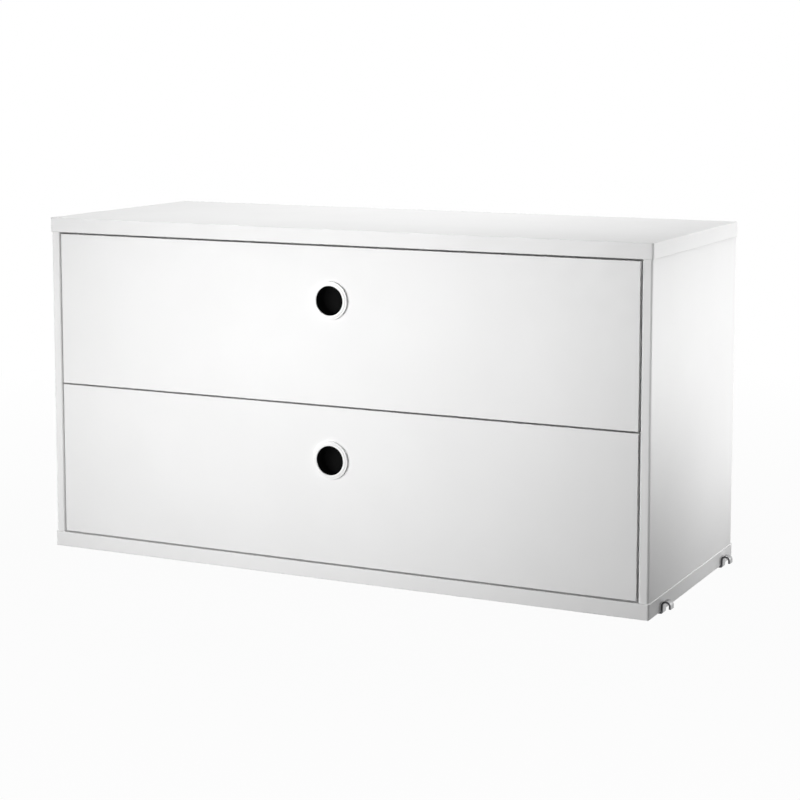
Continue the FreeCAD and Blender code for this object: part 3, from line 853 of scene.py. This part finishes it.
@dataclass
class Carcass:
    """The fixed panels, the back and the cover caps of their joint fittings."""

    panel_arris: Arris = Arris((0.9 * MM, 0.9 * MM, 2.8 * MM))
    side_arris: Arris = Arris((0.2 * MM, 0.2 * MM, 2.8 * MM))
    back_arris: Arris = Arris((0.2 * MM, 0.2 * MM, 0.2 * MM), segments=1)
    panels: tuple[str, ...] = ("top_panel", "bottom_panel")
    cap_radius: float = 8.5 * MM
    cap_height: float = 0.7 * MM
    cap_sink: float = 0.1 * MM
    cap_segments: int = 48
    cap_margin: float = 11.4 * MM
    cap_setback: tuple[float, ...] = (40.0 * MM, 222.0 * MM)

    def build(self, layout: SetOut) -> None:
        """Makes every fixed board, and the caps with the tree that sets parts out."""
        arrises = {name: self.panel_arris for name in self.panels}
        arrises |= {f"{side}_side_panel": self.side_arris for side in SIDES}
        for name, arris in arrises.items():
            arris.dress(name, CARCASS_LACQUER, ROOT_BODY)
        self.back_arris.dress("back_panel", BACK_BOARD, ROOT_BODY)
        self.build_caps(layout)

    def build_caps(self, layout: SetOut) -> None:
        """Sets the cover caps of the joint fittings on the sides, clear of the cabinet rails."""
        foot = [(0.0, -self.cap_sink), (self.cap_radius, -self.cap_sink)]
        crown = scaled(CAP_OUTLINE, self.cap_radius, self.cap_height)
        spots = []
        for side, hand in SIDES.items():
            low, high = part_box(f"{side}_side_panel")
            inner = outward(f"{side}_side_panel", hand)[0] * hand
            for back in self.cap_setback:
                for height in (low.z + self.cap_margin, high.z - self.cap_margin):
                    spots.append(((inner, low.y + back, height), (-hand, 0.0, 0.0)))
        cap = turned("joint_cap", [*foot, *crown], self.cap_segments)
        layout.lay("joint_caps", cap, spots, RING_PLASTIC, ROOT_BODY)


@dataclass
class HangingHooks:
    """Four bent steel strips with a foot, a leg and an arch, and the screws in their feet."""

    width: float = 11.0 * MM
    thickness: float = 2.5 * MM
    edge_radius: float = 0.45 * MM
    heel_radius: float = 1.65 * MM
    arch_radius: float = 4.5 * MM
    arch_steps: int = 28
    screw_radius: float = 3.4 * MM
    screw_insets: tuple[float, ...] = (10.0 * MM, 22.0 * MM)
    screw_sink: float = 0.12 * MM
    screw_seed: int = 11
    hole_clear: float = 0.25 * MM
    hole_share: float = 0.55
    hole_rim: float = 0.15 * MM
    cone_end: float = 2.1 * MM
    cutter_flare: float = 0.6 * MM
    cutter_reach: tuple[float, float] = (-1.0 * MM, 4.0 * MM)
    cutter_segments: int = 48
    edge_slope: float = 0.75

    def path(self, node: str, hand: float) -> list[Point3]:
        """The middle line of one hook, from the tip of its arch to the end of its foot.

        Args:
            node: The CAD node of the hook.
            hand: 1 for the right end of the cabinet, -1 for the left.

        Returns:
            Points in space.
        """
        low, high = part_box(node)
        foot, outer = outward(node, hand)
        half = self.thickness / 2.0
        reach = outer - half
        leg = reach - 2.0 * self.arch_radius
        rise = high.z - half - self.arch_radius
        middle = (low.y + high.y) / 2.0
        arch = arc((leg + self.arch_radius, rise), self.arch_radius, 0, 180, self.arch_steps)
        heel = rounded_path([arch[-1], (leg, low.z + half), (foot, low.z + half)],
                            self.heel_radius)
        points = [(reach, self.tip_height(node, outer)), *arch, *heel[1:]]
        return [(x * hand, middle, z) for x, z in points]

    def tip_height(self, node: str, outer: float) -> float:
        """The height of the arch's free end, read from the CAD node's outer face."""
        return min(vertex.co.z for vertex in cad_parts[node].data.vertices
                   if abs(abs(vertex.co.x) - outer) < SAME_SPOT)

    def screw_spots(self, node: str, hand: float) -> list[Point3]:
        """Where the screws of one foot sit, at the foot's underside."""
        low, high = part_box(node)
        leg = outward(node, hand)[1] - 2.0 * self.arch_radius - self.thickness
        middle = (low.y + high.y) / 2.0
        return [((leg - inset) * hand, middle, low.z) for inset in self.screw_insets]

    def drill(self, mesh: Mesh, spots: Sequence[Point3]) -> Mesh:
        """Cuts the countersunk holes of a foot.

        Args:
            mesh: The plain strip.
            spots: The middle of each hole, at the underside.

        Returns:
            The strip with its holes, and with its front and rear edge faces marked for painted shade.
        """
        solid = Solid()
        wide, narrow = self.screw_radius + self.hole_clear, self.screw_radius * self.hole_share
        bottom, top = self.cutter_reach
        profile = [(0.0, bottom), (wide + self.cutter_flare, bottom), (wide, -SAME_SPOT),
                   (wide, self.hole_rim), (narrow, self.cone_end), (narrow, top), (0.0, top)]
        for spot in spots:
            solid.turn(profile, self.cutter_segments, Matrix.Translation(spot))
        result = cut_away(mesh, solid.write("hole_cutter"))
        # Faces that face front or rear get painted shade
        marks = result.attributes.new(PAINTED_SHADE_EDGE, "FLOAT", "FACE")
        for mark, face in zip(marks.data, result.polygons):
            mark.value = float(abs(face.normal.y) > self.edge_slope)
        return result

    def build(self, strips: BentStrip, layout: SetOut) -> None:
        """Makes the hooks and their screws.

        Args:
            strips: The tree that sweeps a strip along its path.
            layout: The tree that sets the screws out.
        """
        seats = []
        for side, hand in SIDES.items():
            for row in ROWS:
                node = f"{side}_{row}_hook"
                strip = strips.sweep(self.path(node, hand), self.width, self.thickness,
                                     self.edge_radius, HOOK_STEEL)
                spots = self.screw_spots(node, hand)
                finish_piece(f"{node}_bent", self.drill(strip, spots), HOOK_STEEL, ROOT_BODY,
                             [node])
                seats += [((x, y, z + self.screw_sink), (0.0, 0.0, -1.0)) for x, y, z in spots]
        screw = CrossScrew(Drive.COUNTERSUNK, self.screw_radius).build()
        layout.lay("hook_screws", screw, seats, SCREW_STEEL, ROOT_BODY, spread=math.tau,
                   seed=self.screw_seed)


@dataclass
class FingerGrip:
    """The white ring and the black cup of one front, turned round the grip's axis."""

    ring_segments: int = 144
    ring_outer: float = 22.5 * MM
    ring_opening: float = 17.25 * MM
    ring_crown: float = 20.4 * MM
    ring_rise: float = 3.3 * MM
    ring_step: float = 0.5 * MM
    ring_round: float = 0.5 * MM
    ring_draft: float = 0.25 * MM
    ring_sharp: float = 24.0
    bead_radius: float = 0.3 * MM
    skirt_inner: float = 21.1 * MM
    lip: float = 1.2 * MM
    cup_segments: int = 96
    cup_outer: float = 20.9 * MM
    cup_inner: float = 19.3 * MM
    cup_rim: float = 1.9 * MM
    cup_rim_ease: float = 0.3 * MM
    cup_floor: float = 14.5 * MM
    cup_end: float = 16.0 * MM
    cup_end_ease: float = 0.5 * MM
    cup_round: float = 4.0 * MM

    def ring_profile(self) -> list[Point2]:
        """The ring's closed profile: radius, and height above the face of the front."""
        rise, opening, crown, ease = self.ring_rise, self.ring_opening, self.ring_crown, self.ring_round
        flange, edge = rise - self.ring_step, self.bead_radius
        bead = arc((self.ring_outer - edge, flange - edge), edge, 0, 90, 6)
        brow = arc((crown - ease, rise - ease), ease, 0, 90, 6)
        mouth = arc((opening + ease, rise - ease), ease, 90, 180, 5)
        return [(self.skirt_inner, 0.0), (self.ring_outer, 0.0), *bead,
                (crown + self.ring_draft, flange), *brow, *mouth,
                (opening, rise - self.lip), (self.skirt_inner, rise - self.lip)]

    def cup_profile(self) -> list[Point2]:
        """The cup's profile, from the middle of its inside round the rim to its outside."""
        floor, end, inner, outer = -self.cup_floor, -self.cup_end, self.cup_inner, self.cup_outer
        rim, ease, foot = self.cup_rim, self.cup_rim_ease, self.cup_end_ease
        bowl = arc((inner - self.cup_round, floor + self.cup_round), self.cup_round, 270, 360, 8)
        return [(0.0, floor), *bowl, (inner, rim - ease), (inner + ease, rim),
                (outer - ease, rim), (outer, rim - ease), (outer, end + foot),
                (outer - foot, end), (0.0, end)]

    def build(self, level: str) -> None:
        """Makes the ring and the cup of a level."""
        body, ring, cup = f"{level}_drawer", f"{level}_grip_ring", f"{level}_grip_cup"
        low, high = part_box(ring)
        middle = (low + high) / 2.0
        seat = Matrix.Translation((middle.x, high.y, middle.z))
        place = seat @ Matrix.Rotation(math.radians(90.0), 4, "X")
        profile = self.ring_profile()
        mesh = turned("ring", [*profile, profile[0]], self.ring_segments, place, self.ring_sharp)
        finish_piece(f"{ring}_turned", mesh, RING_PLASTIC, body, [ring])
        mesh = turned("cup", self.cup_profile(), self.cup_segments, place)
        finish_piece(f"{cup}_turned", mesh, CUP_PLASTIC, body, [cup])


@dataclass
class DrawerBox:
    """A drawer's front and the four boards of its box."""

    front_arris: Arris = Arris((0.25 * MM, 0.25 * MM, 0.3 * MM))
    board_arris: Arris = Arris((0.9 * MM, 0.9 * MM, 0.9 * MM), segments=3, chamfer=0.0)
    bottom_arris: Arris = Arris((0.2 * MM, 0.2 * MM, 0.2 * MM), segments=1, chamfer=0.0)

    def build(self, level: str) -> None:
        """Makes the boards of a level."""
        box = f"{level}_box"
        boards = [(f"{level}_front", self.front_arris, FRONT_LACQUER)]
        boards += [(f"{box}_{part}", self.board_arris, BOX_BOARD)
                   for part in ("left_side", "right_side", "back")]
        boards.append((f"{box}_bottom", self.bottom_arris, BOX_BOTTOM))
        for node, arris, finish in boards:
            arris.dress(node, finish, f"{level}_drawer")


@dataclass(frozen=True)
class AxisLine:
    """Where the two rollers of one axis line run, out from the cabinet's middle."""

    inner: float
    outer: float
    radius: float
    y: float
    z: float

    @classmethod
    def read(cls, node: str) -> "AxisLine":
        """Measures the CAD node of the two rollers."""
        low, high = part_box(node)
        inner = min(abs(vertex.co.x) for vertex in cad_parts[node].data.vertices)
        middle = (low + high) / 2.0
        return cls(inner, high.x, (high.z - low.z) / 2.0, middle.y, middle.z)

    @property
    def width(self) -> float:
        """The width of a roller."""
        return self.outer - self.inner

    def spots(self, reach: float, facing: float) -> list[Spot]:
        """One spot on each side, at a distance from the middle; a facing of 1 is outwards."""
        return [((hand * reach, self.y, self.z), (hand * facing, 0.0, 0.0))
                for hand in SIDES.values()]


@dataclass
class RollerSlides:
    """The folded rails, riveted axles, rollers and screws of one drawer."""

    sheet: float = 1.2 * MM
    bend: float = 0.9 * MM
    foot: float = 10.0 * MM
    tab_width: float = 5.2 * MM
    tab_height: float = 12.0 * MM
    tab_round: float = 2.0 * MM
    notch_clear: float = 1.5 * MM
    axle_radius: float = 2.0 * MM
    head_radius: float = 3.2 * MM
    side_play: float = 0.3 * MM
    screw_setbacks: tuple[float, ...] = (50.0 * MM, 210.0 * MM)
    screw_share: float = 0.45
    pan_radius: float = 2.9 * MM
    pan_height: float = 1.1 * MM
    cabinet_seed: int = 3
    drawer_seed: int = 7

    def fold(self, corners: Sequence[Point2], near: float, far: float, hand: float) -> Solid:
        """Folds a rail from its sheet, along the middle line that the corners give."""
        path = rounded_path(corners, self.bend + self.sheet / 2.0)
        solid = Solid()
        solid.extrude(strip_outline(path, self.sheet), near, far, hand)
        return solid

    def cabinet_rail(self, level: str, side: str, hand: float) -> None:
        """Folds the channel on a side panel, with its stop tab."""
        node = f"{level}_{side}_cabinet_rail"
        low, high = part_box(node)
        edge, outer = outward(node, hand)
        half, ease = self.sheet / 2.0, self.tab_round
        web = outer - half
        solid = self.fold([(edge, high.z - half), (web, high.z - half), (web, low.z + half),
                           (edge, low.z + half)], low.y, high.y, hand)
        floor = low.z + self.sheet
        tab = arc((edge + self.tab_width - ease, floor + self.tab_height - ease), ease, 0, 90, 6)
        outline = [(edge, floor - half), (edge + self.tab_width, floor - half), *tab,
                   (edge, floor + self.tab_height)]
        solid.extrude(outline, high.y - self.sheet, high.y, hand)
        finish_piece(f"{node}_folded", solid.write("cabinet_rail"), SLIDE_STEEL, ROOT_BODY, [node])

    def drawer_rail(self, level: str, side: str, hand: float) -> None:
        """Folds the rail under a box side, with the notch for its roller."""
        node = f"{level}_{side}_drawer_rail"
        low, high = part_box(node)
        inner, runner = outward(node, hand)
        half, past = self.sheet / 2.0, self.notch_clear
        web = inner + self.foot + half
        solid = self.fold([(runner, high.z - half), (web, high.z - half), (web, low.z + half),
                           (inner, low.z + half)], low.y, high.y, hand)
        top = high.z - half - self.bend
        outline = [(inner - past, top), (runner + past, top), (runner + past, high.z + past),
                   (inner - past, high.z + past)]
        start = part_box(f"{level}_rear_rollers")[0].y - past
        notch = Solid()
        notch.extrude(outline, start, high.y + past, hand)
        mesh = cut_away(solid.write("drawer_rail"), notch.write("notch"))
        finish_piece(f"{node}_folded", mesh, SLIDE_STEEL, f"{level}_drawer", [node])

    def wheels(self, level: str, row: str, line: AxisLine, layout: SetOut) -> None:
        """Sets out the two rollers of one axis line."""
        node = f"{level}_{row}_rollers"
        spots = line.spots(line.inner + line.width / 2.0, 1.0)
        layout.lay(f"{node}_moulded", Roller(line.radius, line.width).build(), spots,
                   ROLLER_PLASTIC, f"{level}_{row}_roller_pair", [node])

    def rivets(self, name: str, line: AxisLine, facing: float, body: str,
               layout: SetOut) -> None:
        """Rivets the axles of one axis line to their rails.

        Args:
            name: The name of the piece.
            line: Where the rollers run.
            facing: -1 where the heads face inwards, 1 where they face outwards.
            body: The body of the rails.
            layout: The tree that sets the rivets out.
        """
        play = self.side_play
        web = line.outer + play if facing < 0 else line.inner - play
        part = Rivet(self.axle_radius, self.head_radius, line.width + 2.0 * play).build()
        layout.lay(name, part, line.spots(web, facing), SCREW_STEEL, body)

    def screws(self, level: str, layout: SetOut) -> None:
        """Sets out the screws of the rails of a level."""
        fixed, moving = [], []
        for side, hand in SIDES.items():
            node = f"{level}_{side}_cabinet_rail"
            low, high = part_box(node)
            web = (outward(node, hand)[1] - self.sheet) * hand
            fixed += [((web, low.y + back, (low.z + high.z) / 2.0), (-hand, 0.0, 0.0))
                      for back in self.screw_setbacks]
            node = f"{level}_{side}_drawer_rail"
            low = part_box(node)[0]
            middle = (outward(node, hand)[0] + self.foot * self.screw_share) * hand
            moving += [((middle, low.y + back, low.z), (0.0, 0.0, -1.0))
                       for back in self.screw_setbacks]
        for rail, spots, body, seed in (("cabinet", fixed, ROOT_BODY, self.cabinet_seed),
                                        ("drawer", moving, f"{level}_drawer", self.drawer_seed)):
            screw = CrossScrew(Drive.PAN, self.pan_radius, self.pan_height).build()
            layout.lay(f"{level}_{rail}_rail_screws", screw, spots, SCREW_STEEL, body,
                       spread=math.tau, seed=seed)

    def build(self, level: str, layout: SetOut) -> None:
        """Makes all the slide parts of a level."""
        for side, hand in SIDES.items():
            self.cabinet_rail(level, side, hand)
            self.drawer_rail(level, side, hand)
        lines = {row: AxisLine.read(f"{level}_{row}_rollers") for row in ROWS}
        for row, line in lines.items():
            self.wheels(level, row, line, layout)
        for row, facing, body in (("front", -1.0, ROOT_BODY), ("rear", 1.0, f"{level}_drawer")):
            self.rivets(f"{level}_{row}_axle_rivets", lines[row], facing, body, layout)
        self.screws(level, layout)


# Studio

WHITE_LIGHT = (1.0, 1.0, 1.0, 1.0)


@dataclass(frozen=True)
class SoftBox:
    """A square or oblong studio lamp, aimed at a point; a grid holds its spread in degrees."""

    name: str
    place: Point3
    aim: Point3
    width: float
    height: float
    power: float
    spread: float = 180.0

    def hang(self) -> None:
        """Adds the lamp to the scene."""
        lamp = bpy.data.lights.new(self.name, "AREA")
        lamp.shape = "RECTANGLE"
        lamp.size = self.width
        lamp.size_y = self.height
        lamp.energy = self.power
        lamp.spread = math.radians(self.spread)
        holder = bpy.data.objects.new(self.name, lamp)
        holder.location = self.place
        way = Vector(self.aim) - Vector(self.place)
        holder.rotation_euler = way.to_track_quat("-Z", "Y").to_euler()
        bpy.context.scene.collection.objects.link(holder)


@dataclass
class Studio:
    """The floor, the surroundings, the lamps and the camera."""

    floor_half: float = 14.0
    floor_colour: Colour = (0.18, 0.18, 0.18)
    floor_white_near: float = 0.965
    floor_white_far: float = 1.0
    fade_near: float = 0.45
    fade_far: float = 1.6
    fill: float = 0.09
    lamps: tuple[SoftBox, ...] = (
        SoftBox("key_softbox", (-0.70, -1.29, 0.35), (-0.17, -0.15, 0.10), 0.5, 0.5, 2.80, 84.0),
        SoftBox("front_gridded", (-0.20, -2.20, 0.22), (0.20, -0.15, 0.37), 0.3, 0.3, 0.94, 40.0),
        SoftBox("side_gridded", (1.57, 0.46, 0.137), (0.39, -0.22, 0.33), 0.21, 0.21, 0.20, 22.3),
        SoftBox("side_close", (0.584, 0.253, 0.271), (0.39, 0.168, 0.26), 0.48, 0.48, 0.67, 97.0),
        SoftBox("top_softbox", (0.60, 0.17, 1.69), (-0.475, 0.09, 0.41), 0.5, 0.5, 6.1, 90.0),
        SoftBox("rear_softbox", (-1.0, 1.8, 0.22), (0.0, 0.2, 0.2), 1.2, 0.35, 12.0),
    )
    camera_place: Point3 = (1.07945, -2.18071, 0.61389)
    camera_yaw: float = 0.45424
    camera_pitch: float = -0.11191
    camera_lens: float = 90.33
    camera_shift: float = -0.15
    camera_sensor: float = 36.0
    camera_clip: tuple[float, float] = (0.05, 60.0)

    def seen_directly(self, sketch: NodeSketch) -> Socket:
        """1 where the camera, a reflection or a clear pane looks, else 0."""
        path = sketch.add("ShaderNodeLightPath").outputs
        either = sketch.math("MAXIMUM", path["Is Camera Ray"], path["Is Glossy Ray"])
        return sketch.math("MAXIMUM", either, path["Is Transmission Ray"])

    def blend(self, sketch: NodeSketch, share: Socket, lit: Node,
              white: Node, output: str) -> None:
        """Mixes a share of plain white into a lit shader and leads both to the tree's output."""
        values = {0: share, 1: lit.outputs[0], 2: white.outputs[0]}
        mixed = sketch.add("ShaderNodeMixShader", values)
        sketch.add(output, {"Surface": mixed.outputs[0]})

    def lay_floor(self) -> None:
        """Adds a pale floor that goes to white and keeps the cabinet's shadow."""
        half = self.floor_half
        mesh = bpy.data.meshes.new("studio_floor")
        corners = [(-half, -half, 0.0), (half, -half, 0.0), (half, half, 0.0), (-half, half, 0.0)]
        mesh.from_pydata(corners, [], [(0, 1, 2, 3)])
        floor = mesh_object("studio_floor", mesh)
        material = bpy.data.materials.new("studio_floor_paper")
        material.use_nodes = True
        sketch = NodeSketch(material.node_tree)
        material.node_tree.nodes.clear()
        paper = sketch.add("ShaderNodeBsdfDiffuse", {"Color": (*self.floor_colour, 1.0)})
        white = sketch.add("ShaderNodeEmission", {"Color": WHITE_LIGHT, "Strength": 1.0})
        place = sketch.add("ShaderNodeTexCoord").outputs["Object"]
        reach = sketch.add("ShaderNodeVectorMath", {0: place}, operation="LENGTH").outputs["Value"]
        fade = sketch.spread(reach, self.fade_near, self.fade_far, self.floor_white_near,
                             self.floor_white_far)
        share = sketch.math("MULTIPLY", fade, self.seen_directly(sketch))
        self.blend(sketch, share, paper, white, "ShaderNodeOutputMaterial")
        mesh.materials.append(material)

    def set_world(self) -> None:
        """Makes the surroundings white to the eye and a low fill to the cabinet."""
        world = bpy.data.worlds.new("studio_world")
        bpy.context.scene.world = world
        world.use_nodes = True
        sketch = NodeSketch(world.node_tree)
        world.node_tree.nodes.clear()
        fill, white = (
            sketch.add("ShaderNodeBackground", {"Color": WHITE_LIGHT, "Strength": strength})
            for strength in (self.fill, 1.0))
        self.blend(sketch, self.seen_directly(sketch), fill, white, "ShaderNodeOutputWorld")

    def set_camera(self) -> None:
        """Stands the camera at the photograph's angle."""
        lens = bpy.data.cameras.new("photo_camera")
        lens.sensor_width = self.camera_sensor
        lens.lens = self.camera_lens
        lens.shift_y = self.camera_shift
        lens.clip_start, lens.clip_end = self.camera_clip
        camera = bpy.data.objects.new("photo_camera", lens)
        camera.location = self.camera_place
        camera.rotation_euler = (math.pi / 2.0 + self.camera_pitch, 0.0, self.camera_yaw)
        bpy.context.scene.collection.objects.link(camera)
        bpy.context.scene.camera = camera

    def build(self) -> None:
        """Sets everything up round the cabinet."""
        bpy.context.scene.view_settings.view_transform = "Standard"
        self.lay_floor()
        self.set_world()
        for lamp in self.lamps:
            lamp.hang()
        self.set_camera()
        log.info("studio: %d lamps", len(self.lamps))


def main() -> None:
    """Builds the cabinet piece by piece, then the studio."""
    logging.basicConfig(level=logging.INFO, format="%(name)s: %(message)s")
    layout, strips = SetOut(), BentStrip()
    Carcass().build(layout)
    HangingHooks().build(strips, layout)
    for level in LEVELS:
        DrawerBox().build(level)
        FingerGrip().build(level)
        RollerSlides().build(level, layout)
    Studio().build()


if __name__ == "__main__":
    main()
